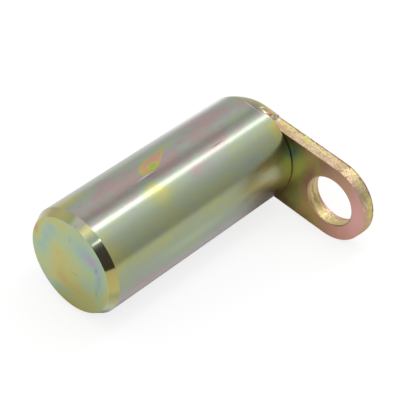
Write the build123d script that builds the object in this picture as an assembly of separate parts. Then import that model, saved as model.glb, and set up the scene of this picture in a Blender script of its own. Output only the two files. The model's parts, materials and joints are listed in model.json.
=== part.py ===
from build123d import *
import math
import os

# Tilt pin: a turned bar with a blanked keeper plate butted on its end and welded round the head.
# Frame: the origin is on the pin's axis, in the plate's seating face. +X runs along the pin to its
# free end. The part lies on its side on z = -pin_r, with the plate's flag reaching out along +Y and
# turned down until its round end touches what the part lies on. Millimetres, +Z up.
# Each piece is drawn with the flag level, along +Y, and turned down last.

# ---- driving dimensions ----
pin_d = 30.0            # turned bar
pin_length = 67.0       # plate's seating face to the free end
lead_rise = 1.4         # lead-in chamfer on the free end, across the bar
lead_run = 2.5          # the same chamfer, along the bar
face_break = 0.3        # radius that takes the sharpness off the free face's rim
end_break = 0.35        # corner taken off the other end, which shows as a groove along the plate

plate_thickness = 4.0
weld_ledge = 3.25       # how far the plate's round head lies inside the pin's rim, all round
hole_pitch = 28.3       # pin axis to bolt hole axis
hole_d = 14.5           # for a 12 mm keeper bolt
edge_roll = 0.45        # rounding that the blanking press leaves on the plate's back outline
tear_depth = 2.0        # the sheared edge is torn this deep from the seating face, and cut beyond
tear_lean = 0.17        # how far the torn part leans in at the seating face
mouth_roll = 0.35       # rounding at the bolt hole's mouth, on the seating face

weld_lap = 1.3          # how far the bead laps over the pin's rim, along the pin
weld_melt = 1.4         # how deep the bead bites into the pin's end face at the rim
weld_stand = 0.4        # how far the bead stands off the plate's edge at its back
weld_crown = 0.3       # how far the bead bulges over a straight slope
weld_heel = 0.2         # how far in from the plate's back face the bead ends
weld_run = 5.0          # how far the bead runs on along the plate's two straight sides
weld_nose = 2.2         # radius that brings its two ends down to the plate
weld_fade = 12.0        # degrees round the rim over which the melted corner comes in at each end

# ---- sizes that follow ----
pin_r = pin_d / 2
head_r = pin_r - weld_ledge     # both ends of the plate, and half its width
weld_end = math.degrees(math.acos(weld_run / pin_r))    # angle from the flag where the bead ends
flag_droop = math.degrees(math.asin(weld_ledge / hole_pitch))   # flag's turn when it lies at rest
weld_back = weld_heel - plate_thickness                 # where the bead ends along the pin
overrun = 2.0           # how far cutting shapes run past what they cut


def on_rim(angle, x):
    """The point at this angle from +Y on the pin's surface."""
    turn = math.radians(angle)
    return Vector(x, pin_r * math.cos(turn), pin_r * math.sin(turn))


def weld_reach():
    """What the bead keeps within: as far out as the bar, and rounded down at its two ends."""
    ring = Circle(pin_r) & Pos(weld_run - pin_r, 0) * Rectangle(2 * pin_r, 2 * pin_r)
    rounded = fillet(ring.vertices(), weld_nose)
    return extrude(Plane.YZ * Pos(0, 0, weld_back) * rounded, weld_lap - weld_back)


def melted_rim():
    """The corner of the bar that the weld takes. It comes in along a slanted plane at each end."""
    outline = Polyline((weld_lap, pin_r), (0, pin_r - weld_melt), (-overrun, pin_r - weld_melt),
                       (-overrun, pin_r + overrun), (weld_lap, pin_r + overrun), close=True)
    near = on_rim(weld_end, 0)
    inward = Vector(0, near.Y, near.Z) * -1
    along = on_rim(weld_end + weld_fade, weld_lap) - near
    fade = Plane(near, x_dir=inward, z_dir=along.cross(inward))
    wide = 4 * pin_d
    spared = extrude(fade * Rectangle(wide, wide), pin_d) & Pos(0, 0, wide / 2) * Box(wide, wide, wide)
    return revolve(make_face(outline), Axis.X) - spared - mirror(spared, about=Plane.XY)


def turned_pin():
    """The bar, with its lead-in chamfer, its broken corners and the corner that the weld has melted."""
    section = make_face(Polyline((0, 0), (0, pin_r - end_break), (end_break, pin_r),
                                 (pin_length - lead_run, pin_r), (pin_length, pin_r - lead_rise),
                                 (pin_length, 0), close=True))
    bar = revolve(section, Axis.X)
    bar = fillet(bar.edges().filter_by(GeomType.CIRCLE).group_by(Axis.X)[-1], face_break)
    return bar - melted_rim()


def keeper_plate():
    """A flat blank with two round ends, pierced for the keeper bolt. The press rounds its back
    outline and the hole's mouth in the same stroke, cuts half of its edge square and tears the
    rest at a slant."""
    outline = Plane.YZ * Pos(hole_pitch / 2, 0, -tear_depth) * SlotCenterToCenter(hole_pitch, 2 * head_r)
    tear_slant = math.degrees(math.atan2(tear_lean, tear_depth))
    blank = extrude(outline, tear_depth - plate_thickness) + extrude(outline, tear_depth, taper=tear_slant)
    blank = fillet(blank.faces().sort_by(Axis.X)[0].edges(), edge_roll)
    drill = Pos(0, hole_pitch, 0) * Rot(0, 90, 0) * Cylinder(hole_d / 2, 2 * plate_thickness + overrun)
    blank = blank - drill
    round_edges = blank.edges().filter_by(GeomType.CIRCLE).group_by(Axis.X)[-1]
    mouth = round_edges.sort_by(SortBy.RADIUS)[0]       # the outline's ends are the larger ones
    return fillet(mouth, mouth_roll)


def head_weld(pin, plate):
    """The bead in the step between the pin's rim and the plate's head: a slope with a crown, carried
    round the head and on along both straight sides, less the pin and the plate."""
    toe = Vector(weld_lap, pin_r)
    heel = Vector(weld_back, head_r + weld_stand)
    across = (heel - toe).normalized()
    crown = (toe + heel) / 2 + Vector(across.Y, -across.X) * weld_crown
    root = head_r - overrun
    outline = ThreePointArc(toe, crown, heel) + Polyline(heel, (weld_back, root), (weld_lap, root), toe)
    section = make_face(outline)
    bead = Rot(90, 0, 0) * revolve(section, Axis.X, 180)
    for side in (1, -1):
        bead += extrude(Rot(side * 90, 0, 0) * section, weld_run, dir=(0, 1, 0))
    return (bead & weld_reach()) - plate - pin


pin = turned_pin()
plate = keeper_plate()
weld = head_weld(pin, plate)

os.makedirs("parts", exist_ok=True)
for name, piece in (("pin", pin), ("keeper_plate", plate), ("head_weld", weld)):
    laid = Rot(-flag_droop, 0, 0) * piece
    print(name, len(laid.solids()), "solid", round(laid.volume, 2), "mm3", laid.is_valid)
    export_step(laid, f"parts/{name}.step")
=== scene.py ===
import json
import math
import bmesh
import bpy
import numpy as np
from mathutils import Matrix, Vector


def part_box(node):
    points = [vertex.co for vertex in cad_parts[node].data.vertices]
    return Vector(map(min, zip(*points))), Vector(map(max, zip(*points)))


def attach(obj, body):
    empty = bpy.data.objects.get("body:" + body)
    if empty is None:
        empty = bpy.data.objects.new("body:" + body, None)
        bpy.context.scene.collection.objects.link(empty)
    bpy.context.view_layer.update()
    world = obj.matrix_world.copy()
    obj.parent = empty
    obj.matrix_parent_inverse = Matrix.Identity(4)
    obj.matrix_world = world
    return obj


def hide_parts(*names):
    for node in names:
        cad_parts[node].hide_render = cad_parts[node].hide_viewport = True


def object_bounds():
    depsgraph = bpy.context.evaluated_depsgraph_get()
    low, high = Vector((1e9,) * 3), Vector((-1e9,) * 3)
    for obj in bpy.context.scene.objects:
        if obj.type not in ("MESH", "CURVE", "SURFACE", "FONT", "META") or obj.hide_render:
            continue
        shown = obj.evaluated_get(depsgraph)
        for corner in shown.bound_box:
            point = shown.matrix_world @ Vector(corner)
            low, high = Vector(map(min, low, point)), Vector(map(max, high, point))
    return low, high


# Dresses the tilt pin: a turned bar, a blanked keeper plate and the weld that joins them, all under
# yellow chromate over bright zinc. Lengths are metres, and every place is read from the frame.

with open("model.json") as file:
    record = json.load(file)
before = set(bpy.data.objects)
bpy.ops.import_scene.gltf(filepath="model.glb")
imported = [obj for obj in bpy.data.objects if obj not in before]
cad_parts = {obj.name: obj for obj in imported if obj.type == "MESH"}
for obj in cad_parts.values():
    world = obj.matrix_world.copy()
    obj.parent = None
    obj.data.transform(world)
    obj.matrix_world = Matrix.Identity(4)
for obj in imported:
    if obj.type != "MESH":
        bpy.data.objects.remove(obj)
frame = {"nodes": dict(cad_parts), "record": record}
cadBox = [list(corner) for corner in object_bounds()]
print("frame loaded:", ", ".join(sorted(frame["nodes"])))

# what the frame says

mm = 0.001
mounts = {mount["name"]: mount for mount in frame["record"]["mounts"]}
pinLow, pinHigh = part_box("pin")
plateLow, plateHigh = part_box("keeper_plate")
weldLow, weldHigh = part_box("head_weld")

pinRadius = mounts["shank"]["dims"]["r_mm"] * mm
pinLength = pinHigh.x
leadRun = pinLength - mounts["shank"]["dims"]["length_mm"] * mm
plateThick = -plateLow.x
headRadius = -plateLow.y                       # both ends of the plate, and half its width
boltX, boltY, boltZ = mounts["keeper_bolt_hole"]["pos_m"]
boltRadius = mounts["keeper_bolt_hole"]["dims"]["r_mm"] * mm
holePitch = math.hypot(boltY, boltZ)
droop = math.atan2(boltZ, boltY)               # the flag's turn about the pin, downwards
weldRun = 5.0 * mm                             # how far the bead runs on along the plate's straight sides
weldEnd = math.acos(weldRun / pinRadius)       # the angle from the flag at which it ends


def smooth(value, low, high):
    # 0 below low and 1 above high, with level ends between them: 3t^2 - 2t^3
    t = np.clip((value - low) / (high - low), 0, 1)
    return t * t * (3 - 2 * t)


def span(start, end, cells):
    # points from start towards end, closer together near both: the share is (1 - cos(pi t)) / 2
    t = (1 - np.cos(np.pi * np.arange(cells) / cells)) / 2
    return start + (end - start) * t[:, None]


def easedLine(corners, radii, cells, arcCells=6):
    # a line through the corners, each inner one rounded: its arc starts and ends
    # radius / tan(half the corner's angle) from the corner and turns evenly between
    corners = np.array(corners, float)
    line = []
    last = corners[0]
    for before, corner, after, radius, count in zip(corners, corners[1:], corners[2:], radii, cells):
        back = (before - corner) / np.linalg.norm(before - corner)
        on = (after - corner) / np.linalg.norm(after - corner)
        half = math.acos(float(back @ on)) / 2
        middle = back + on
        centre = corner + middle / np.linalg.norm(middle) * radius / math.sin(half)
        start = corner + back * radius / math.tan(half)
        end = corner + on * radius / math.tan(half)
        turn = math.pi - 2 * half
        t = (np.arange(arcCells) / arcCells)[:, None]
        arc = np.sin((1 - t) * turn) * (start - centre) + np.sin(t * turn) * (end - centre)
        line += [span(last, start, count), centre + arc / math.sin(turn)]
        last = end
    line += [span(last, corners[-1], cells[-1]), corners[-1:]]
    return np.vstack(line)


def softNoise(shape, rough, seed):
    # a field from -1 to 1 that repeats at its edges: random waves, weaker as they get shorter
    grain = np.fft.rfft2(np.random.default_rng(seed).standard_normal(shape))
    down = np.fft.fftfreq(shape[0])[:, None] * rough[0]
    across = np.fft.rfftfreq(shape[1])[None, :] * rough[1]
    field = np.fft.irfft2(grain * np.exp(-np.hypot(down, across) ** 2), shape)
    return field / np.abs(field).max()


def turned(points, angle):
    # the points turned about X by the angle
    x, y, z = np.moveaxis(points, -1, 0)
    cos, sin = math.cos(angle), math.sin(angle)
    return np.stack([x, y * cos - z * sin, y * sin + z * cos], -1)


def gridMesh(name, points, closeAcross):
    # a skin on a grid of points that always closes along its first side: each cell is a face. Cells
    # whose points coincide shrink to triangles when the doubles are merged.
    rows, columns = points.shape[:2]
    i = np.arange(rows)[:, None]
    j = np.arange(columns if closeAcross else columns - 1)[None, :]
    iNext = (i + 1) % rows
    jNext = (j + 1) % columns
    cells = [i * columns + j, iNext * columns + j, iNext * columns + jNext, i * columns + jNext]
    faces = np.stack(np.broadcast_arrays(*cells), -1).reshape(-1, 4)
    mesh = bpy.data.meshes.new(name)
    mesh.from_pydata(points.reshape(-1, 3).tolist(), [], faces.tolist())
    work = bmesh.new()
    work.from_mesh(mesh)
    bmesh.ops.remove_doubles(work, verts=work.verts, dist=1e-7)
    bmesh.ops.dissolve_degenerate(work, edges=work.edges, dist=1e-7)
    bmesh.ops.recalc_face_normals(work, faces=work.faces)
    work.to_mesh(mesh)
    work.free()
    mesh.shade_smooth()
    piece = bpy.data.objects.new(name, mesh)
    bpy.context.scene.collection.objects.link(piece)
    return piece


def faceCentres(piece):
    centres = np.empty(len(piece.data.polygons) * 3)
    piece.data.polygons.foreach_get("center", centres)
    return centres.reshape(-1, 3)


def wear(piece, skins, choice):
    # gives the piece its materials, and each face the number of the one that it wears
    for skin in skins:
        piece.data.materials.append(skin)
    piece.data.polygons.foreach_set("material_index", np.asarray(choice, np.int32))
    piece.data.update()


def paint(red, green, blue):
    # a colour as a chart gives it, 0 to 255, turned to linear light
    levels = [part / 255 for part in (red, green, blue)]
    return (*[c / 12.92 if c <= 0.0404 else ((c + 0.055) / 1.055) ** 2.4 for c in levels], 1.0)


class Wire:
    # a value on its way through a node tree: an operator on it adds one Math node

    def __init__(self, bench, socket):
        self.bench = bench
        self.socket = socket

    def calc(self, operation, *others):
        return self.bench.sum(operation, self, *others)

    def other(self, name):
        return Wire(self.bench, self.socket.node.outputs[name])

    def __add__(self, other):
        return self.calc("ADD", other)

    def __sub__(self, other):
        return self.calc("SUBTRACT", other)

    def __rsub__(self, other):
        return self.bench.sum("SUBTRACT", other, self)

    def __mul__(self, other):
        return self.calc("MULTIPLY", other)

    def __truediv__(self, other):
        return self.calc("DIVIDE", other)

    def __pow__(self, other):
        return self.calc("POWER", other)

    __radd__ = __add__
    __rmul__ = __mul__


class Bench:
    # builds one node tree

    def __init__(self, tree):
        self.tree = tree
        tree.nodes.clear()

    def node(self, kind, settings, values, out=0):
        made = self.tree.nodes.new(kind)
        for key, value in settings.items():
            if key == "stops":
                self.fill(made.color_ramp, value)
            else:
                setattr(made, key, value)
        for slot, value in values.items():
            if isinstance(value, Wire):
                self.tree.links.new(value.socket, made.inputs[slot])
            else:
                made.inputs[slot].default_value = value
        return Wire(self, made.outputs[out]) if made.outputs else None

    def sum(self, operation, *terms):
        return self.node("ShaderNodeMath", {"operation": operation}, dict(enumerate(terms)))

    def fill(self, ramp, stops):
        # stops are (place, chart colour), or (place, plain level)
        while len(ramp.elements) < len(stops):
            ramp.elements.new(1.0)
        for element, (place, tone) in zip(ramp.elements, stops):
            element.position = place
            element.color = paint(*tone) if isinstance(tone, tuple) else (tone, tone, tone, 1.0)

    def place(self, turn=0.0):
        # the point on the piece in millimetres, turned about X
        spot = self.node("ShaderNodeTexCoord", {}, {}, "Object")
        return self.node("ShaderNodeMapping", {"vector_type": "POINT"},
                         {"Vector": spot, "Rotation": (turn, 0, 0), "Scale": (1 / mm,) * 3})

    def split(self, vector):
        x = self.node("ShaderNodeSeparateXYZ", {}, {0: vector})
        return x, x.other("Y"), x.other("Z")

    def stretch(self, vector, factors):
        return self.node("ShaderNodeVectorMath", {"operation": "MULTIPLY"}, {0: vector, 1: factors})

    def noise(self, vector, size, detail=2.0, rough=0.5):
        # size is the width of a patch, in millimetres
        return self.node("ShaderNodeTexNoise", {}, {"Vector": vector, "Scale": 1 / size, "Detail": detail,
                                                    "Roughness": rough})

    def step(self, value, low, high):
        # 0 below low, 1 above high, and smooth between
        return self.node("ShaderNodeMapRange", {"interpolation_type": "SMOOTHSTEP"},
                         {"Value": value, "From Min": low, "From Max": high})

    def spot(self, u, v, patch):
        # a soft oval patch, 1 in its middle: e to the power of minus the square of its distance
        u0, v0, uHalf, vHalf = patch
        return (((u - u0) / uHalf) ** 2 + ((v - v0) / vHalf) ** 2).calc("MULTIPLY", -1.0).calc("EXPONENT")

    def blend(self, share, first, second):
        return self.node("ShaderNodeMix", {"data_type": "RGBA"}, {0: share, 6: first, 7: second}, 2)

    def ramp(self, value, stops):
        return self.node("ShaderNodeValToRGB", {"stops": stops}, {0: value})

    def along(self, value, stops):
        # a ramp whose stops stand at the value's own places, from the first to the last
        first, reach = stops[0][0], stops[-1][0] - stops[0][0]
        shares = [((place - first) / reach, tone) for place, tone in stops]
        return self.ramp((value - first) / reach, shares)

    def marksAndPaintedLight(self, colour, u, v, marks):
        # small marks over a colour, some real and some painted light or shade: each one's oval, its colour
        # and how strong it is
        for *patch, tone, strength in marks:
            colour = self.blend(self.spot(u, v, patch) * strength, colour, paint(*tone))
        return colour

    def bump(self, height, strength, depth):
        return self.node("ShaderNodeBump", {},
                         {"Height": height, "Strength": strength, "Distance": depth * mm})

    def metal(self, colour, rough, normal, edgeTint=(1, 1, 1, 1)):
        skin = self.node("ShaderNodeBsdfPrincipled", {},
                         {"Base Color": colour, "Metallic": 1.0, "Roughness": rough, "Normal": normal,
                          "Specular Tint": edgeTint})
        self.node("ShaderNodeOutputMaterial", {}, {"Surface": skin})


def newSkin(name):
    skin = bpy.data.materials.new(name)
    skin.use_nodes = True
    return skin, Bench(skin.node_tree)


# the turned bar's round side: u runs along the pin, v is the degrees round it from the flag's side.
# The film runs from thin to thick through mauve, grey, green, yellow and orange.

turnedFilm = {
    "tones": [(0.0, (174, 147, 147)), (0.15, (163, 147, 142)), (0.28, (158, 154, 147)),
              (0.40, (153, 162, 149)), (0.52, (155, 164, 140)), (0.66, (161, 167, 126)),
              (0.80, (171, 171, 115)), (0.92, (182, 172, 102)), (1.0, (192, 160, 100))],
    # the film's place in the tones at each number of degrees round the pin
    "round": [(-180, 0.5), (-100, 0.4), (-30, 0.16), (-16, 0.2), (-10, 0.34), (2, 0.46), (10, 0.56),
              (20, 0.62), (38, 0.6), (50, 0.54), (62, 0.46), (70, 0.3), (78, 0.16), (92, 0.14),
              (98, 0.2), (104, 0.34), (110, 0.46), (118, 0.44), (126, 0.36), (134, 0.3), (160, 0.36),
              (180, 0.5)],
    "wander": 0.46,               # how far the film strays, in wide clouds, in small ones and in streaks
    "cloud": 0.62,
    "fleck": 0.3,
    "calm": (40.0, 75.0, 0.4),    # below these degrees it strays less, down to this share
    # middle along the pin, middle round it, half length, half width in degrees, shift of the film
    "patches": [(62, 113, 6, 15, 0.42), (51, 110, 5, 6, -0.26), (52, 99, 6, 6, -0.12),
                (43.2, 71, 2.8, 10, 0.42), (42.5, 57, 3.2, 8, 0.3), (30, 104, 3.2, 6, 0.36),
                (37, 104, 5, 4, 0.2), (26.5, 87, 2.2, 5, 0.26), (18, 116, 6, 6, -0.3),
                (12, 108, 7, 8, -0.34), (3, 106, 3, 9, 0.16), (8, 82, 7, 8, 0.34), (13, 90, 3, 3, 0.1),
                (17, 57, 3, 6, 0.12), (2, 50, 2.2, 16, 0.28), (0.2, 54, 0.8, 11, 0.34),
                (13, 37, 3, 4, -0.26), (29, 60, 3.6, 8, -0.26), (23, 61, 3, 6, -0.1),
                (64, 38, 4, 22, 0.22), (56, -14, 7, 6, -0.2), (38, -8, 10, 8, 0.14), (10, 8, 9, 9, 0.1),
                (5, 58, 3, 4, 0.1)],
    # the drip mark: its middle, the way it points, half length and half width, and how it narrows
    "drip": (36.5, 94.6),
    "dripWay": (-0.95, 0.31),
    "dripHalf": 5.6,
    "dripWidth": 1.72,
    "dripTaper": 0.16,
    # from outside the drip to its middle, and the green spot in it
    "dripTones": [(-0.5, (156, 166, 138)), (-0.15, (160, 167, 120)), (0.08, (175, 167, 103)),
                  (0.32, (190, 157, 108)), (0.6, (189, 149, 122)), (1.0, (187, 147, 128))],
    "dripCore": (37.9, 89.4, 2.0, 4.2),
    "coreTones": [(0.2, (194, 152, 120)), (0.4, (192, 162, 98)), (0.56, (174, 175, 90)),
                  (0.8, (148, 175, 82))],
    # marks on top: middle, half sizes, colour, strength. A pale scratch with its painted shadow beside it,
    # a nick, and specks; the last ten, on the flag's side, are painted reflections and shade, lighter and
    # darker
    "marks": [(42.4, 83.4, 2.2, 0.9, (214, 206, 198), 0.6), (41.4, 81.2, 2.0, 0.7, (112, 98, 92), 0.6),
              (19.4, 70.0, 2.0, 0.5, (84, 78, 70), 0.8), (53.6, -17.5, 1.7, 0.9, (112, 102, 106), 0.7),
              (39.6, -17.5, 2.0, 0.8, (122, 114, 114), 0.5), (27.6, -17.5, 0.9, 0.8, (110, 104, 104), 0.6),
              (62.6, -23.0, 0.8, 1.6, (90, 86, 84), 0.8), (38, 3, 13, 6, (174, 186, 154), 0.6),
              (14, 9, 6, 5, (190, 192, 148), 0.6), (7, 1, 3, 3.5, (206, 208, 176), 0.6),
              (18, 1.5, 3, 3.5, (150, 144, 106), 0.7), (12.5, -6, 3.5, 6, (146, 132, 92), 0.7),
              (9, -16, 3.5, 8, (124, 110, 84), 0.75), (6, -29, 3.5, 9, (98, 84, 64), 0.75),
              (9.5, 20.5, 2, 2.6, (142, 128, 70), 0.7), (4, 21.5, 3, 5.5, (98, 108, 90), 0.6),
              (4, -4, 4, 11, (206, 196, 126), 0.3)],
    "paintedSheen": (236, 236, 234),      # painted sheen: the film's tone high on the far side, towards the plate, near white for the bright tent mirrored there
    "paintedSheenFrom": (117.0, 130.0),   # the degrees over which it comes in, and the length over which it goes
    "paintedSheenTo": (0.0, 42.0),
    # the run of weld on to the round side: degrees round the pin, how far along it, in millimetres
    "lap": [(58, 0.0), (62, 0.5), (66, 0.9), (72, 1.6), (82, 2.0), (90, 1.85), (98, 1.3), (104, 0.9)],
    "lapTone": (152, 142, 132),
    # the pale line along the weld's toe is a painted highlight
    "lapHighlight": (196, 192, 178),
    "lapReach": (58.0, 60.0, 98.0, 104.0),      # the degrees over which it comes in and goes again
    "lapHighlightAt": (0.0, 82.0, 0.16, 17.0),       # the painted highlight's middle past the lap's reach and round, half sizes
    "groove": (66, 50, 34),       # painted shade in the corner between the bar and the plate
    "rough": 0.2,
    "duller": (4, 4, 24, 26),     # where the plate is mirrored: middle and half sizes
}


def makeTurnedSkin():
    skin, bench = newSkin("zincOnTurnedBar")
    s = turnedFilm
    where = bench.place()
    x, y, z = bench.split(where)
    angle = bench.sum("ARCTAN2", z, y) * (180 / math.pi)
    drift = bench.noise(bench.stretch(where, (0.45, 1.0, 1.0)), 6.0, 3.0)
    cloud = bench.noise(bench.stretch(where, (0.7, 1.0, 1.0)), 2.2, 3.0, 0.6)
    fleck = bench.noise(bench.stretch(where, (0.25, 1.0, 1.0)), 0.9, 2.0)
    film = bench.along(angle, s["round"]) + (drift - 0.5) * s["wander"]
    calmFrom, calmTo, least = s["calm"]
    stray = bench.step(angle, calmFrom, calmTo) * (1 - least) + least
    film = film + ((cloud - 0.5) * s["cloud"] + (fleck - 0.5) * s["fleck"]) * stray
    for *patch, shift in s["patches"]:
        film = film + bench.spot(x, angle, patch) * shift
    colour = bench.ramp(film, s["tones"])
    # painted sheen: high on the far side the colour goes near white
    paintedSheen = bench.step(angle, *s["paintedSheenFrom"]) * (1 - bench.step(x, *s["paintedSheenTo"]))
    colour = bench.blend(paintedSheen * 0.95, colour, paint(*s["paintedSheen"]))
    ahead, aside = s["dripWay"]
    run = x - s["drip"][0]
    rise = (angle - s["drip"][1]) * (math.radians(1) * pinRadius / mm)
    u = run * ahead + rise * aside
    v = rise * ahead - run * aside
    drip = 1 - (u / s["dripHalf"]) ** 2 - (v / (s["dripWidth"] - u * s["dripTaper"])) ** 2
    drip = drip + (cloud - 0.5) * 0.7
    colour = bench.blend(bench.step(drip, -0.5, 0.0), colour, bench.along(drip, s["dripTones"]))
    core = bench.spot(x, angle, s["dripCore"]) + (cloud - 0.5) * 0.3
    colour = bench.blend(bench.step(core, 0.3, 0.45), colour, bench.along(core, s["coreTones"]))
    # the marks, with painted shade and painted reflections among them
    colour = bench.marksAndPaintedLight(colour, x, angle, s["marks"])
    # a ramp holds 0 to 1, so the lap's reach goes through it as a share of 4 mm
    past = x - bench.along(angle, [(place, reach / 4) for place, reach in s["lap"]]) * 4
    onTop = bench.step(angle, *s["lapReach"][:2]) * (1 - bench.step(angle, *s["lapReach"][2:]))
    colour = bench.blend((1 - bench.step(past, -0.2, 0.1)) * onTop, colour, paint(*s["lapTone"]))
    # a painted highlight along the weld's toe
    line = bench.spot(past, angle, s["lapHighlightAt"])
    colour = bench.blend(line * 0.8, colour, paint(*s["lapHighlight"]))
    # painted shade: the corner against the plate goes dark brown
    inGroove = 1 - bench.step(x, 0.0, barSet["endBreak"] / mm)
    colour = bench.blend(inGroove * 0.9, colour, paint(*s["groove"]))
    rough = s["rough"] + (fleck - 0.5) * 0.06 + bench.spot(x, angle, s["duller"]) * 0.12
    wobble = bench.noise(bench.stretch(where, (0.15, 1.0, 1.0)), 3.0, 2.0)
    bench.metal(colour, rough, bench.bump(wobble, 0.25, 0.02))
    return skin


# the lead-in's tones, at degrees round the pin from the flag's side

leadFilm = {
    "tones": [(-180, (205, 195, 130)), (-145, (175, 180, 138)), (-90, (175, 178, 130)),
              (-30, (185, 195, 160)), (-8, (160, 158, 104)), (0, (182, 175, 110)),
              (20, (176, 164, 100)), (44, (150, 146, 126)), (60, (130, 145, 124)),
              (70, (190, 186, 128)), (80, (204, 206, 186)), (92, (140, 145, 106)),
              (105, (175, 168, 112)), (140, (178, 168, 134)), (158, (163, 138, 127)),
              (171, (203, 184, 127)), (180, (205, 195, 130))],
    "wander": 8.0,                # how many degrees the tones stray
    "rough": 0.1,
}


def makeLeadSkin():
    skin, bench = newSkin("zincOnLead")
    where = bench.place()
    x, y, z = bench.split(where)
    angle = bench.sum("ARCTAN2", z, y) * (180 / math.pi)
    drift = bench.noise(where, 4.0, 2.0)
    colour = bench.along(angle + (drift - 0.5) * leadFilm["wander"], leadFilm["tones"])
    bench.metal(colour, leadFilm["rough"], bench.bump(drift, 0.1, 0.02))
    return skin


# the free face: u is towards the flag's side, v is upwards

faceFilm = {
    "tones": [(0.0, (200, 146, 164)), (0.10, (172, 160, 178)), (0.22, (160, 172, 174)),
              (0.36, (160, 183, 164)), (0.50, (172, 188, 148)), (0.62, (184, 187, 130)),
              (0.74, (190, 184, 116)), (0.85, (188, 170, 106)), (0.93, (196, 162, 114)),
              (1.0, (206, 150, 134))],
    "base": 0.52,
    "wander": 0.26,               # how far the film strays, in wide clouds and in small ones
    "cloud": 0.16,
    # middle, half width, half height, shift of the film
    "patches": [(-3, -1, 5.5, 6, 0.18), (-4, -6.5, 4, 2.2, 0.1), (3, -7.5, 8, 4.5, 0.22),
                (-5, 1.5, 3, 3, 0.08), (-6.8, 8.2, 2, 2.2, -0.26), (-9.8, 0.5, 2.4, 2.2, -0.24),
                (-8.2, 4.4, 1.9, 2.4, -0.2), (3, 8, 4.5, 3, -0.12), (7, 6.4, 3.4, 2.8, -0.28),
                (8.2, 6.4, 1.3, 1.1, -0.22), (10.6, 1.5, 2, 4.5, -0.24), (6, -3.6, 4.4, 2.4, -0.12),
                (-4.8, -9.6, 4.2, 1.3, -0.18), (-12, 6.4, 1.5, 4.2, 0.32), (-6, 11.4, 5, 1.4, 0.28),
                (-12.2, 5.6, 0.8, 3, 0.2), (-9.8, 9.2, 1.8, 1.8, 0.2), (12.6, -2, 1.0, 5, 0.16),
                (0, -13, 8, 1.2, 0.16)],
    "marks": [(9.4, 4.2, 0.35, 0.8, (128, 112, 128), 0.6), (0.4, 8.6, 0.3, 0.7, (128, 134, 104), 0.4),
              (10.2, 0.4, 0.3, 1.6, (140, 152, 140), 0.5), (9.3, -3.4, 0.35, 1.4, (134, 146, 120), 0.5),
              (1.4, -1.8, 1.2, 0.4, (150, 142, 100), 0.35)],
    "rough": 0.34,
}


def makeFaceSkin():
    skin, bench = newSkin("zincOnFreeFace")
    s = faceFilm
    where = bench.place()
    x, y, z = bench.split(where)
    drift = bench.noise(where, 3.0, 3.0)
    cloud = bench.noise(where, 1.1, 3.0, 0.6)
    film = s["base"] + (drift - 0.5) * s["wander"] + (cloud - 0.5) * s["cloud"]
    for *patch, shift in s["patches"]:
        film = film + bench.spot(y, z, patch) * shift
    colour = bench.marksAndPaintedLight(bench.ramp(film, s["tones"]), y, z, s["marks"])
    fine = bench.noise(where, 0.8, 3.0)
    bench.metal(colour, s["rough"], bench.bump(fine + drift * 2, 0.2, 0.03))
    return skin


# the plate's faces: u is along the flag from the pin's axis, v is across it, upwards

plateFilm = {
    # across the flag from below to above: beside the pin, and beside the bolt hole
    "byPin": [(-12, (150, 120, 84)), (-8.5, (166, 160, 88)), (-4, (174, 164, 92)), (1, (200, 188, 106)),
              (5.5, (192, 194, 120)), (9, (165, 168, 112)), (13, (168, 138, 100))],
    "byHole": [(-12, (165, 130, 85)), (-7, (198, 170, 100)), (-2, (180, 136, 110)), (2, (182, 142, 114)),
               (6, (204, 178, 110)), (9, (204, 186, 118)), (11, (208, 168, 130))],
    # the same past the hole's near side, and at the flag's end
    "middle": [(-12, (182, 136, 114)), (0, (196, 146, 132)), (9, (190, 150, 120))],
    "end": [(-12, (190, 140, 124)), (1, (214, 162, 156)), (12, (198, 152, 136))],
    # the last mark, dark brown in the corner against the pin's rim, is painted shade
    "marks": [(14.4, 7.8, 1.5, 2.5, (96, 128, 134), 0.85), (17.0, 2.2, 1.7, 4.4, (194, 206, 102), 0.7),
              (17.5, -7.0, 2.6, 2.8, (158, 168, 96), 0.6), (24.5, -9.6, 3.0, 1.4, (178, 178, 100), 0.5),
              (21.2, 1.0, 0.9, 5.0, (170, 124, 112), 0.6), (13.4, 10.2, 1.4, 1.0, (150, 120, 92), 0.6)],
    # how far out each row of tones takes over from the one before
    "holeFrom": (17.0, 20.6),
    "middleFrom": (22.5, 26.5),
    "endFrom": (31.0, 37.0),
    "wander": (7.0, 3.0),         # how far the tones stray across the flag, in wide and in small clouds
    "wanderOut": (5.0, 3.0),      # the same along it
    "rough": 0.3,
}


def makePlateSkin():
    skin, bench = newSkin("zincOnPlate")
    s = plateFilm
    where = bench.place(-droop)
    x, y, z = bench.split(where)
    drift = bench.noise(where, 4.0, 3.0)
    cloud = bench.noise(where, 1.4, 3.0, 0.6)
    across = z + (drift - 0.5) * s["wander"][0] + (cloud - 0.5) * s["wander"][1]
    out = y + (drift - 0.5) * s["wanderOut"][0] + (cloud - 0.5) * s["wanderOut"][1]
    colour = bench.along(across, s["byPin"])
    colour = bench.blend(bench.step(out, *s["holeFrom"]), colour, bench.along(across, s["byHole"]))
    atMiddle = bench.step(out + z * 0.1, *s["middleFrom"])
    colour = bench.blend(atMiddle, colour, bench.along(across, s["middle"]))
    colour = bench.blend(bench.step(out, *s["endFrom"]), colour, bench.along(across, s["end"]))
    # the marks, the last of them painted shade
    colour = bench.marksAndPaintedLight(colour, y, z, s["marks"])
    fine = bench.noise(where, 0.6, 3.0)
    bench.metal(colour, s["rough"], bench.bump(fine, 0.2, 0.03))
    return skin


# the sheared edge and the bore, through the plate from its back to its seating face

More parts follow.
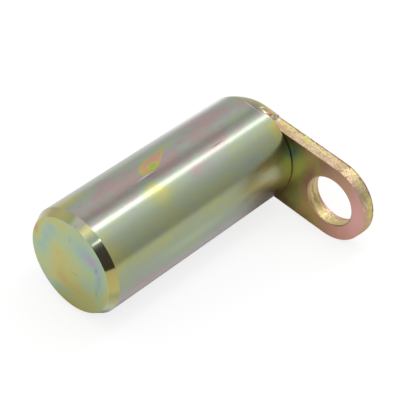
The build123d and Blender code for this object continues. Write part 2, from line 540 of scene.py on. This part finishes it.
cutFilm = {
    "edge": [(-4.0, (96, 48, 32)), (-3.64, (112, 58, 38)), (-3.48, (150, 96, 66)),
             (-3.2, (222, 196, 146)), (-2.9, (230, 208, 152)), (-2.2, (230, 212, 154)),
             (-1.7, (206, 186, 136)), (-1.1, (212, 182, 150)), (-0.1, (212, 178, 154)),
             (0.0, (190, 152, 126))],
    "lime": (228, 224, 104),
    "rose": (226, 190, 154),
    "edgeTint": (240, 206, 176),
    "pits": (176, 142, 88),
    "sparkle": (254, 248, 222),
    "endTone": (190, 196, 160),   # on the round end, below
    "shade": (120, 100, 70),      # on the round end, above
    "shadeFrom": (26.5, 29.5),    # how far along the flag each of the two comes in
    "endFrom": (31.0, 37.0),
    # depths over which the roll's unbroken line ends, the streaks start and the lime patches end
    "offRoll": (-3.8, -3.45),
    "streaksFrom": (-3.5, -3.0),
    "limeTo": (-2.4, -1.6),
    # where the bead stops: middle along the flag and through the plate, half sizes
    "marks": [(5.5, -2.2, 0.8, 1.7, (222, 216, 204), 0.9), (5.75, -2.7, 0.4, 0.6, (255, 252, 242), 0.95),
              (5.5, -1.3, 0.35, 0.5, (250, 238, 220), 0.8), (5.2, -2.1, 0.3, 0.5, (132, 124, 112), 0.8),
              (5.9, -0.8, 0.7, 0.6, (170, 146, 110), 0.6), (9.0, -0.9, 3.0, 0.9, (190, 160, 114), 0.6),
              (7.8, -2.8, 1.5, 0.6, (240, 230, 120), 0.6), (31.5, -0.3, 0.3, 0.5, (96, 84, 60), 0.8)],
    "bore": [(-4.0, (200, 142, 138)), (-3.4, (196, 140, 128)), (-2.9, (196, 164, 118)),
             (-2.3, (206, 188, 130)), (-1.2, (198, 178, 118)), (-0.5, (208, 188, 128)),
             (0.0, (190, 154, 120))],
    "boreLine": (104, 96, 60),    # where the punch's cut gives way to the tear
    "boreLineAt": -2.0,           # how deep, and half its width
    "boreLineHalf": 0.45,
    "glitter": (255, 244, 200),
    "glitterAt": (-0.4, 2.6, 2.4),         # along the flag from the hole's middle, and half sizes
    "edgeRough": 0.36,
    "boreRough": 0.42,
}


def makeShearedSkin():
    skin, bench = newSkin("zincOnShearedEdge")
    s = cutFilm
    where = bench.place(-droop)
    x, y, z = bench.split(where)
    grain = bench.noise(where, 0.9, 2.0, 0.6)
    speck = bench.noise(bench.stretch(where, (1.4, 1.0, 1.0)), 0.7, 2.0, 0.8)
    streak = bench.noise(bench.stretch(where, (1.0, 0.35, 0.35)), 1.0, 2.0)
    colour = bench.along(x + (streak - 0.5) * 2.6 * bench.step(x, *s["streaksFrom"]), s["edge"])
    patch = bench.noise(bench.stretch(where, (0.6, 1.0, 1.0)), 3.4, 2.0)
    behind = 1 - bench.step(x, *s["limeTo"])
    inside = bench.step(x, *s["offRoll"])
    lime = bench.step(patch, 0.5, 0.58) * behind * inside
    colour = bench.blend(lime * 0.7, colour, paint(*s["lime"]))
    colour = bench.blend((1 - bench.step(patch, 0.4, 0.48)) * inside * 0.4, colour, paint(*s["rose"]))
    pitted = (1 - bench.step(grain, 0.34, 0.48)) * inside * (1 - bench.step(y, 30.0, 36.0) * 0.6)
    colour = bench.blend(pitted * 0.6, colour, paint(*s["pits"]))
    colour = bench.blend(bench.step(speck, 0.5, 0.62) * inside * 0.6, colour, paint(*s["sparkle"]))
    below = bench.step(y, *s["endFrom"]) * (1 - bench.step(z, -7.0, 3.0))
    colour = bench.blend(below * 0.7, colour, paint(*s["endTone"]))
    colour = bench.blend(bench.step(y, *s["shadeFrom"]) * 0.34, colour, paint(*s["shade"]))
    above = bench.marksAndPaintedLight(colour, y, x, s["marks"])
    colour = bench.blend(bench.step(z, 0.0, 2.0), colour, above)
    rough = s["edgeRough"] - bench.step(speck, 0.5, 0.7) * 0.1
    bench.metal(colour, rough, bench.bump(speck, 0.8, 0.12), paint(*s["edgeTint"]))
    return skin


def makeBoreSkin():
    skin, bench = newSkin("zincInBore")
    s = cutFilm
    where = bench.place(-droop)
    x, y, z = bench.split(where)
    patch = bench.noise(bench.stretch(where, (0.4, 1.0, 1.0)), 2.4, 3.0)
    speck = bench.noise(where, 0.6, 3.0, 0.7)
    fromMiddle = y - holePitch / mm
    near = 1 - bench.step(fromMiddle, -7.0, -3.0)
    colour = bench.along(x + near * 0.7 + (patch - 0.5) * 1.8 + (speck - 0.5) * 0.6, s["bore"])
    # the line strays along the bore's near wall and is lost on the far one
    stray = x + (patch - 0.5) * 3.0 + (speck - 0.5) * 0.8
    line = bench.spot(stray, y, (s["boreLineAt"], holePitch / mm, s["boreLineHalf"], 40.0))
    line = line * (1 - bench.step(fromMiddle, -5.0, -1.0))
    colour = bench.blend(line * 0.6, colour, paint(*s["boreLine"]))
    # painted highlight: the glitter is strongest at the bore's bottom, where the lamp is mirrored
    middle, wide, high = s["glitterAt"]
    bright = bench.spot(fromMiddle, z, (middle, -boltRadius / mm, wide, high)) * 0.7 + 0.1
    colour = bench.blend(bench.step(speck, 0.4, 0.66) * bright, colour, paint(*s["glitter"]))
    bench.metal(colour, s["boreRough"], bench.bump(speck, 0.4, 0.08))
    return skin


# the bead: u is the degrees round the head from the flag, v runs along the pin

beadFilm = {
    "front": [(-180, (150, 144, 124)), (-110, (150, 140, 126)), (-80, (162, 146, 100)),
              (-50, (176, 140, 120)), (50, (210, 196, 160)), (67, (200, 184, 150)),
              (71, (190, 154, 120)), (76, (192, 162, 128)), (80, (170, 150, 116)),
              (85, (156, 142, 126)), (91, (152, 138, 128)), (98, (156, 150, 136)),
              (108, (148, 148, 128)), (130, (152, 148, 138)), (180, (150, 144, 124))],
    "back": [(-180, (150, 144, 124)), (-110, (150, 140, 126)), (-80, (162, 146, 80)),
             (-50, (176, 140, 90)), (50, (210, 196, 160)), (67, (200, 184, 150)),
             (71, (200, 158, 118)), (76, (198, 158, 110)), (81, (178, 150, 84)),
             (88, (160, 148, 92)), (94, (132, 134, 104)), (104, (118, 126, 108)),
             (130, (132, 134, 124)), (180, (150, 144, 124))],
    "wander": 16.0,               # how many degrees the tones stray
    "backTo": (-1.4, -0.3),       # how far along the pin the back's tones end
    "edgeTint": (248, 246, 216),
    "crater": (69.0, -2.0, 2.8, 1.9),
    "craterTone": (208, 202, 190),
    # the two near white marks on the crown are painted glints
    "marks": [(72.4, -0.3, 0.9, 0.4, (104, 78, 46), 0.45), (69.6, -1.8, 0.9, 0.5, (120, 114, 104), 0.9),
              (84.8, -0.5, 1.2, 0.85, (255, 253, 240), 1.0), (78.6, 0.5, 2.6, 0.36, (255, 253, 246), 1.0)],
    "rough": 0.24,
}


def makeBeadSkin():
    skin, bench = newSkin("zincOnWeld")
    s = beadFilm
    where = bench.place(-droop)
    x, y, z = bench.split(where)
    angle = bench.sum("ARCTAN2", z, y) * (180 / math.pi)
    drift = bench.noise(where, 2.5, 3.0)
    fine = bench.noise(where, 0.6, 3.0)
    wander = angle + (drift - 0.5) * s["wander"]
    behind = 1 - bench.step(x + (fine - 0.5) * 1.6, *s["backTo"])
    colour = bench.blend(behind, bench.along(wander, s["front"]), bench.along(wander, s["back"]))
    crater = bench.step(bench.spot(angle, x, s["crater"]) + (fine - 0.5) * 0.9, 0.4, 0.6)
    colour = bench.blend(crater, colour, paint(*s["craterTone"]))
    # the marks, two of them painted glints
    colour = bench.marksAndPaintedLight(colour, angle, x, s["marks"])
    height = drift + crater * fine * 3
    bench.metal(colour, s["rough"], bench.bump(height, 0.3, 0.08), paint(*s["edgeTint"]))
    return skin


barSet = {
    "around": 400,                # columns round the axis
    "leadRise": 1.4 * mm,         # the lead-in's height
    "rimBreak": 0.3 * mm,         # radius round the free face
    "leadBreak": 0.08 * mm,       # radius where the lead-in meets the round side
    "endBreak": 0.35 * mm,        # the corner taken off the other end, where no weld melts it
    "melt": 1.4 * mm,             # depth of the corner that the weld melts
    "fade": math.radians(12),     # how far round the melted corner takes to come in
    "ease": 0.05 * mm,            # radius on the other corners
    "cells": [16, 6, 56, 6, 8],   # faces on each straight run, from the axis at the free end
}


def meltedShare(angle):
    # how much of the full melted corner there is at an angle from the flag: none where the bead
    # ends, all of it a fade further round
    away = np.abs((angle + np.pi) % (2 * np.pi) - np.pi)
    return np.clip((away - weldEnd) / barSet["fade"], 0, 1)


def makeBar():
    # a half section turned about X. The two sections, with and without the melted corner, have the
    # same number of points, and each angle takes its share of both.
    s = barSet
    free = [(pinLength, 0), (pinLength, pinRadius - s["leadRise"]), (pinLength - leadRun, pinRadius)]
    plain = free + [(s["endBreak"], pinRadius), (0, pinRadius - s["endBreak"]), (0, 0)]
    melted = free + [(weldHigh.x, pinRadius), (0, pinRadius - s["melt"]), (0, 0)]
    radii = [s["rimBreak"], s["leadBreak"], s["ease"], s["ease"]]
    plain = easedLine(plain, radii, s["cells"])
    melted = easedLine(melted, radii, s["cells"])
    angle = np.arange(s["around"]) / s["around"] * 2 * np.pi
    share = meltedShare(angle - droop)[:, None, None]
    section = plain * (1 - share) + melted * share
    x, r = section[..., 0], section[..., 1]
    points = np.stack([x, r * np.cos(angle)[:, None], r * np.sin(angle)[:, None]], -1)
    piece = gridMesh("turnedBar", points, False)
    middle = faceCentres(piece)
    radius = np.hypot(middle[:, 1], middle[:, 2])
    onLead = middle[:, 0] > pinLength - leadRun
    onFace = onLead & (middle[:, 0] > pinLength - s["rimBreak"] / 2) & (radius < pinRadius - s["leadRise"])
    wear(piece, [makeTurnedSkin(), makeLeadSkin(), makeFaceSkin()], onLead.astype(int) + onFace)
    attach(piece, "root")
    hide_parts("pin")
    print("turned bar:", len(piece.data.polygons), "faces")


plateSet = {
    "around": 560,                # columns round the outline
    "frontBreak": 0.1 * mm,       # the sheared edge's corner on the seating face
    "backRoll": 0.45 * mm,        # the press's rounding of the back outline
    "mouthRoll": 0.35 * mm,       # the same at the hole's mouth
    "exitBreak": 0.1 * mm,        # the hole's corner at the back
    "rim": 0.9 * mm,              # the faces' first strip, inside every edge
    "tearDepth": 2.0 * mm,        # the sheared edge is torn this deep from the seating face
    "tearLean": 0.17 * mm,        # how far the torn part leans in at the seating face
    "tearEase": 0.3 * mm,         # rounding where the torn part ends
    "tear": 0.035 * mm,           # roughness of the torn part, the widths of its waves and their seed
    "tearGrain": (3.0, 2.0),
    "tearSeed": 4,
    "edgeCells": [4, 12, 12, 4],  # rows of faces on each straight run of the edge, and of the bore
    "boreCells": [4, 20, 4],
    "faceCells": 20,              # the same across a face, between edge and hole
    "skin": 0.02 * mm,            # how near a face's plane a face centre counts as on it
}


def outline(share):
    # once round the plate: along the top, round the flag's end, back below and round the head.
    # Gives the point on the line between the two centres, and the outward direction.
    straight, half = holePitch, math.pi * headRadius
    way = share * 2 * (straight + half)
    turn = np.where(way < straight + half, np.clip(way - straight, 0, half),
                    half + np.clip(way - 2 * straight - half, 0, half)) / headRadius
    along = np.where(way < straight + half, np.clip(way, 0, straight),
                     straight - np.clip(way - straight - half, 0, straight))
    out = np.pi / 2 - turn
    return np.stack([along, 0 * along], -1), np.stack([np.cos(out), np.sin(out)], -1)


def makePlate():
    # a closed section carried round the outline: the sheared edge, the back face in to the hole, the
    # hole's wall, and the front face out again. A face's points lie in line between edge and hole.
    s = plateSet
    t, rim, lean = plateThick, s["rim"], s["tearLean"]
    edge = easedLine([(0, lean + rim), (0, lean), (-s["tearDepth"], 0), (-t, 0), (-t, rim)],
                     [s["frontBreak"], s["tearEase"], s["backRoll"]], s["edgeCells"])
    bore = easedLine([(-t, rim), (-t, 0), (0, 0), (0, rim)], [s["exitBreak"], s["mouthRoll"]],
                     s["boreCells"])
    spine, out = outline(np.arange(s["around"]) / s["around"])
    centre = np.array([holePitch, 0])
    ray = spine + out * headRadius - centre
    ray /= np.linalg.norm(ray, axis=1)[:, None]
    onEdge = spine[:, None] + out[:, None] * (headRadius - edge[:, 1])[None, :, None]
    onBore = centre + ray[:, None] * (boltRadius + bore[:, 1])[None, :, None]
    inner = np.arange(1, s["faceCells"])
    across = ((1 - np.cos(np.pi * inner / s["faceCells"])) / 2)[None, :, None]
    backFace = onEdge[:, -1:] * (1 - across) + onBore[:, :1] * across
    frontFace = onBore[:, -1:] * (1 - across) + onEdge[:, :1] * across
    flat = np.concatenate([onEdge, backFace, onBore, frontFace], 1)
    x = np.concatenate([edge[:, 0], np.full(len(inner), -t), bore[:, 0], np.zeros(len(inner))])
    x = np.broadcast_to(x[None, :, None], flat.shape[:2] + (1,))
    points = np.concatenate([x, flat], -1)
    torn = (softNoise((s["around"], len(edge)), s["tearGrain"], s["tearSeed"]) - 1) / 2 * s["tear"]
    torn = torn * smooth(edge[:, 0], -1.3 * s["tearDepth"], -0.9 * s["tearDepth"])
    torn = torn * smooth(-edge[:, 0], 0.1 * mm, 0.3 * mm)
    points[:, :len(edge), 1:] += out[:, None] * torn[..., None]
    piece = gridMesh("keeperPlate", turned(points, droop), True)
    middle = turned(faceCentres(piece), -droop)
    onFace = (middle[:, 0] > -s["skin"]) | (middle[:, 0] < -t + s["skin"])
    inBore = np.hypot(middle[:, 1] - holePitch, middle[:, 2]) < boltRadius + s["mouthRoll"]
    skins = [makePlateSkin(), makeShearedSkin(), makeBoreSkin()]
    wear(piece, skins, np.where(onFace, 0, 1 + inBore))
    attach(piece, "root")
    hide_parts("keeper_plate")
    print("keeper plate:", len(piece.data.polygons), "faces")


weldSet = {
    "around": 300,                # columns round the head
    "side": 60,                   # columns along each straight side
    "stand": 0.4 * mm,            # the bead's stand off the plate's edge at its back
    "crown": 0.3 * mm,            # how far it bulges over a straight slope
    "nose": 2.2 * mm,             # radius that brings its two ends down to the plate
    "ripple": 0.03 * mm,
    "ripplePitch": 1.5 * mm,
    "crater": 0.18 * mm,          # depth of the dimple left where the arc went out
    "craterAt": (3.6 * mm, -0.9 * mm),   # its middle, from the pin's axis and from the seating face
    "craterWide": 0.9 * mm,
    "craterFrom": (1.5 * mm, 3.0 * mm),  # how far out from the pin's axis it comes in
    "across": 22,                 # points from toe to heel
    "root": 1.0 * mm,             # how far the hidden underside lies inside the plate's edge
    "overlap": 0.3 * mm,          # and inside the melted corner
    "lid": (0, 0.6, 0.93),        # the rings that close each end, as shares of the section
}


def reachAt(y):
    # how far out the bead may stand above the pin's axis at y: the bar's radius, and near the end an
    # arc of the nose's radius that touches both the bar's round and the end
    nose = weldSet["nose"]
    middle = weldRun - nose
    high = math.sqrt((pinRadius - nose) ** 2 - middle ** 2)
    turn = middle * pinRadius / (pinRadius - nose)
    y = np.clip(y, 0, weldRun)
    return np.where(y < turn, np.sqrt(pinRadius ** 2 - y ** 2),
                    high + np.sqrt(np.clip(nose ** 2 - (y - middle) ** 2, 0, None)))


def makeWeld():
    # a closed section carried along one side of the plate, round its head and along the other side:
    # an arc from the toe on the pin to the heel on the plate's edge, then back beneath the metal.
    # Past the head it is held under the bar's round and under the nose.
    s = weldSet
    side = weldRun * (1 - np.linspace(0, 1, s["side"], endpoint=False) ** 2)
    head = np.linspace(np.pi / 2, 3 * np.pi / 2, s["around"])
    angle = np.concatenate([np.full(s["side"], head[0]), head, np.full(s["side"], head[-1])])
    along = np.concatenate([side, np.zeros(s["around"]), side[::-1]])
    way = np.concatenate([-side, np.linspace(0, np.pi * pinRadius, s["around"]),
                          np.pi * pinRadius + side[::-1]])
    toe = np.array([weldHigh.x, pinRadius])
    heel = np.array([weldLow.x, headRadius + s["stand"]])
    v = np.linspace(0, 1, s["across"])[:, None]
    across = (heel - toe) / np.linalg.norm(heel - toe)
    outward = np.array([across[1], -across[0]])
    beat = np.abs(np.sin(np.pi * (way[:, None] / s["ripplePitch"] + 0.5 * (2 * v.T - 1) ** 2)))
    bulge = s["crown"] * 4 * v.T * (1 - v.T) + s["ripple"] * (beat - 1) * np.sin(np.pi * v.T) ** 0.5
    skin = toe * (1 - v) + heel * v + outward * bulge[..., None]
    root = headRadius - s["root"]
    under = np.array([(weldLow.x, root), (0, root), (0, pinRadius - barSet["melt"] - s["overlap"])])
    below = np.concatenate([span(heel, under[0], 3)[1:], span(under[0], under[1], 6),
                            span(under[1], under[2], 4), under[2:]])
    section = np.concatenate([skin, np.broadcast_to(below, (len(way),) + below.shape)], 1)
    x, r = section[..., 0], section[..., 1]
    y = along[:, None] + r * np.cos(angle)[:, None]
    z = r * np.sin(angle)[:, None]
    far = np.hypot(x - s["craterAt"][1], np.abs(y) - s["craterAt"][0]) / s["craterWide"]
    dimple = s["crater"] * np.exp(-far ** 2) * (z > 0) * smooth(y, *s["craterFrom"])
    limit = reachAt(y) - dimple
    z = np.where(along[:, None] > 0, np.clip(z, -limit, limit), z)
    points = np.stack([x, y, z], -1)
    core = points.mean(1, keepdims=True)
    lid = np.array(s["lid"])[:, None, None]
    points = np.concatenate([core[0] + (points[0] - core[0]) * lid, points,
                             core[-1] + (points[-1] - core[-1]) * lid[::-1]])
    piece = gridMesh("headWeld", turned(points, droop).transpose(1, 0, 2), False)
    wear(piece, [makeBeadSkin()], np.zeros(len(piece.data.polygons)))
    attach(piece, "root")
    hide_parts("head_weld")
    print("weld:", len(piece.data.polygons), "faces")


studioSet = {
    "floorHalf": 2.0,
    "floorWhite": 0.72,           # share of the floor that is plain white to the camera
    "floorGlossy": 0.42,          # the same in reflections, away from the part
    "floorGlow": 1.1,
    "floorTone": (0.82, 0.82, 0.82, 1),
    "footFade": (8.0, 13.0),      # painted shade on the floor: millimetres from the line that the pin lies on, over which the white comes in
    "nookFade": (4.0, 16.0),      # the same from the corner between the pin and the flag
    # degrees up from the flag's side over the pin to the other side, and the tent's brightness there
    "tent": [(0, 0.48), (15, 0.58), (36, 0.75), (50, 0.91), (62, 1.2), (73, 1.3), (87, 1.5), (94, 1.1),
             (102, 0.68), (110, 0.64), (118, 0.93), (130, 1.06), (145, 0.92), (160, 0.83), (172, 0.78),
             (180, 0.84)],
    "darkSide": (0.47, 0.80, 0.25),        # the tent's open side, seen from the part
    "darkFade": (0.75, 0.93),              # cosines of the angles from it over which the tent fades
    "darkDepth": 0.82,                     # how much of the tent's brightness is gone there
    "stripTurn": math.radians(82),         # the strip light's place on the same scale
    "stripAway": 0.9,
    # its two parts: middle along the pin, length, width, glow. The far one lights the plate's half.
    "stripNear": (-0.23, 0.66, 0.12, 3.6),
    "stripFar": (-0.83, 0.54, 0.085, 3.0),
    "glintWay": (0.487, 0.452, 0.747),
    "glintAway": 0.9,
    "glintSize": 0.05,
    "glintGlow": 9.0,
}

viewSet = {
    "azimuth": math.radians(132.1),
    "elevation": math.radians(40.543),
    "roll": math.radians(-1.54),
    "focus": 147.93,              # millimetres, on a sensor 36 wide
    "sensor": 36.0,
    "away": 0.42031,              # from the middle of the CAD box, then sideways and upwards
    "aside": -0.00126,
    "above": 0.00535,
}


def makeFloor():
    s = studioSet
    mesh = bpy.data.meshes.new("floor")
    h = s["floorHalf"]
    corners = [(-h, -h, pinLow.z), (h, -h, pinLow.z), (h, h, pinLow.z), (-h, h, pinLow.z)]
    mesh.from_pydata(corners, [], [(0, 1, 2, 3)])
    floor = bpy.data.objects.new("floor", mesh)
    bpy.context.scene.collection.objects.link(floor)
    skin, bench = newSkin("paleFloor")
    x, y, z = bench.split(bench.place())
    pastEnd = (x - pinLength / mm).calc("MAXIMUM", 0.0)
    fromFoot = (pastEnd ** 2 + y ** 2).calc("SQRT")
    fromNook = (x ** 2 + (y - pinRadius / mm) ** 2).calc("SQRT")
    # painted shade: in reflections the floor loses its white glow near the pin's foot and in the nook
    clear = bench.step(fromFoot, *s["footFade"]) * bench.step(fromNook, *s["nookFade"])
    path = bench.node("ShaderNodeLightPath", {}, {}, "Is Camera Ray")
    glossy = path.other("Is Glossy Ray").calc("MAXIMUM", path.other("Is Transmission Ray"))
    share = path * s["floorWhite"] + glossy * clear * s["floorGlossy"]
    matt = bench.node("ShaderNodeBsdfDiffuse", {}, {"Color": s["floorTone"]})
    white = bench.node("ShaderNodeEmission", {}, {"Color": (1, 1, 1, 1), "Strength": s["floorGlow"]})
    mixed = bench.node("ShaderNodeMixShader", {}, {0: share, 1: matt, 2: white})
    bench.node("ShaderNodeOutputMaterial", {}, {"Surface": mixed})
    mesh.materials.append(skin)


def makeTent():
    # the world: its brightness runs over the pin from side to side, and falls off at the open side
    s = studioSet
    world = bpy.data.worlds.new("tent")
    bpy.context.scene.world = world
    world.use_nodes = True
    bench = Bench(world.node_tree)
    way = bench.node("ShaderNodeTexCoord", {}, {}, "Generated")
    x, y, z = bench.split(way)
    turn = bench.sum("ARCTAN2", z, y) * (180 / math.pi)
    glow = bench.along(turn, s["tent"])
    dark = Vector(s["darkSide"]).normalized()
    near = bench.node("ShaderNodeVectorMath", {"operation": "DOT_PRODUCT"},
                      {0: way, 1: tuple(dark)}, "Value")
    level = glow * (1 - bench.step(near, *s["darkFade"]) * s["darkDepth"])
    path = bench.node("ShaderNodeLightPath", {}, {}, "Is Camera Ray")
    level = level * (1 - path) + path
    sky = bench.node("ShaderNodeBackground", {}, {"Color": (1, 1, 1, 1), "Strength": level})
    bench.node("ShaderNodeOutputWorld", {}, {"Surface": sky})


def makeLamp(name, way, away, size, glow, shift=0.0):
    # an area lamp that faces the part. Its power gives every part of it the brightness of glow.
    lamp = bpy.data.lights.new(name, "AREA")
    lamp.shape = "RECTANGLE"
    lamp.size, lamp.size_y = size
    lamp.energy = glow * math.pi * size[0] * size[1]
    holder = bpy.data.objects.new(name, lamp)
    bpy.context.scene.collection.objects.link(holder)
    back = Vector(way).normalized()
    along = Vector((1, 0, 0))
    side = back.cross(along).normalized()
    along = side.cross(back)
    place = Matrix.Translation(back * away + Vector((shift, 0, 0)))
    holder.matrix_world = place @ Matrix((along, side, back)).transposed().to_4x4()


def makeCamera():
    s = viewSet
    a, e = s["azimuth"], s["elevation"]
    ahead = Vector((-math.sin(a) * math.cos(e), math.cos(a) * math.cos(e), -math.sin(e)))
    right = ahead.cross(Vector((0, 0, 1))).normalized()
    up = right.cross(ahead)
    middle = (Vector(cadBox[0]) + Vector(cadBox[1])) / 2
    eye = middle - ahead * s["away"] + right * s["aside"] + up * s["above"]
    right, up = (right * math.cos(s["roll"]) - up * math.sin(s["roll"]),
                 up * math.cos(s["roll"]) + right * math.sin(s["roll"]))
    lens = bpy.data.cameras.new("camera")
    lens.lens = s["focus"]
    lens.sensor_width = s["sensor"]
    lens.clip_start = 0.01
    camera = bpy.data.objects.new("camera", lens)
    bpy.context.scene.collection.objects.link(camera)
    camera.matrix_world = Matrix.Translation(eye) @ Matrix((right, up, -ahead)).transposed().to_4x4()
    bpy.context.scene.camera = camera


makeBar()
makePlate()
makeWeld()
makeFloor()
makeTent()
strip = studioSet["stripTurn"]
for part in ("stripNear", "stripFar"):
    middle, length, width, glow = studioSet[part]
    makeLamp(part, (0, math.cos(strip), math.sin(strip)), studioSet["stripAway"], (length, width),
             glow, middle)
makeLamp("glint", studioSet["glintWay"], studioSet["glintAway"], (studioSet["glintSize"],) * 2,
         studioSet["glintGlow"])
makeCamera()
bpy.context.scene.view_settings.view_transform = "Standard"
